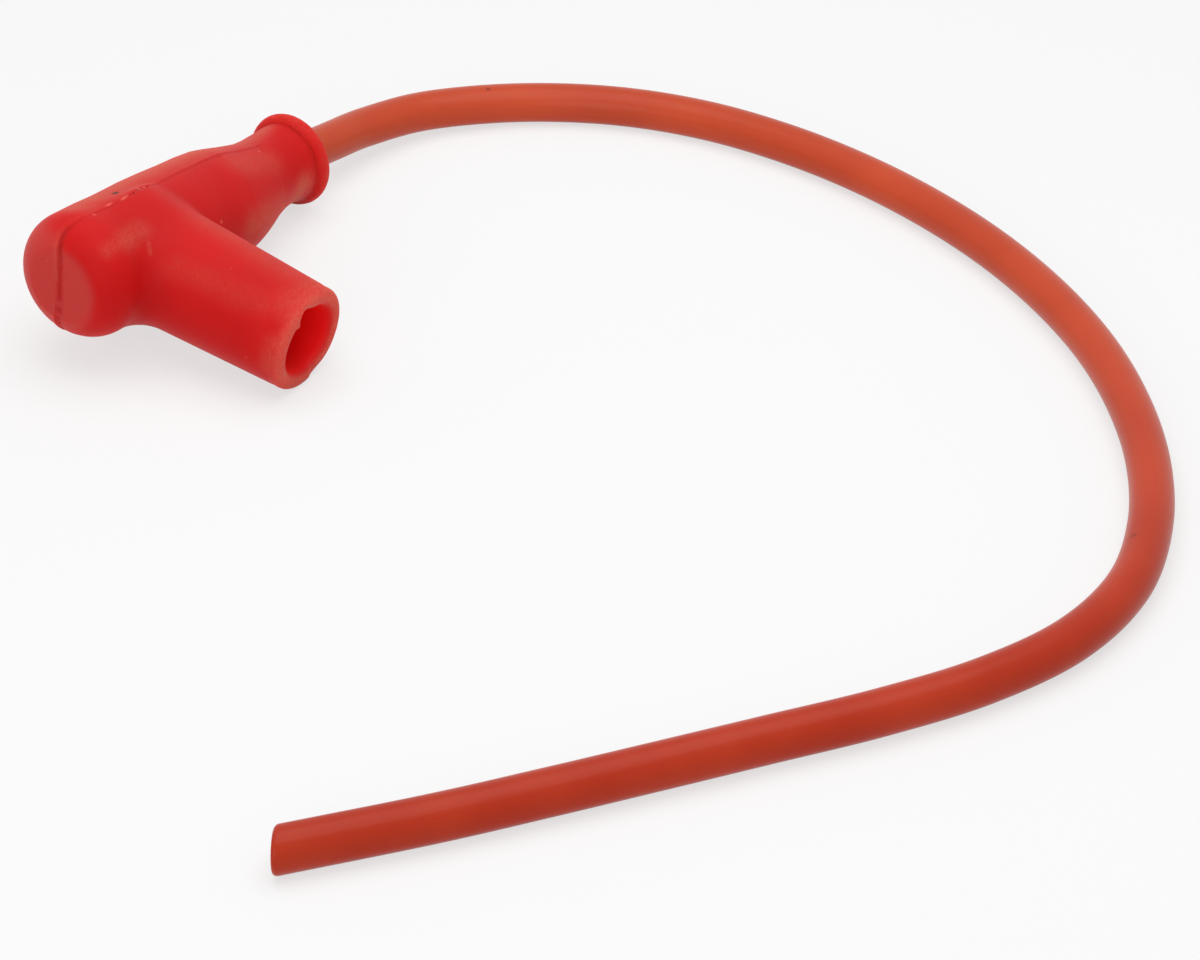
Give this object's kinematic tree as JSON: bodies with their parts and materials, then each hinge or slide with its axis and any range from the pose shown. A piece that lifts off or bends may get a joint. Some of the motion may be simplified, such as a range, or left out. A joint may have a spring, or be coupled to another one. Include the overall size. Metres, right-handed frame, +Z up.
{
  "type": "spark plug wire",
  "caption": "Right-angle red silicone spark plug boot on an orange high-tension lead with a bare cut end.",
  "frame": {"origin": "middle of the boot's footprint, on the surface that it lies on", "axes": "+X along the boot's body towards the lead, -Y the way the plug socket opens, +Z up"},
  "size_m": [0.2171, 0.1885, 0.0274],
  "materials": {
    "boot_silicone": "satin",
    "lead_silicone": "satin",
    "terminal_steel": "satin",
    "conductor_wire": "satin"
  },
  "bodies": {
    "root": {"boot": "boot_silicone", "plug_terminal": "terminal_steel", "snap_ring": "terminal_steel", "lead_jacket": "lead_silicone", "lead_conductor": "conductor_wire"}
  },
  "joints": []
}
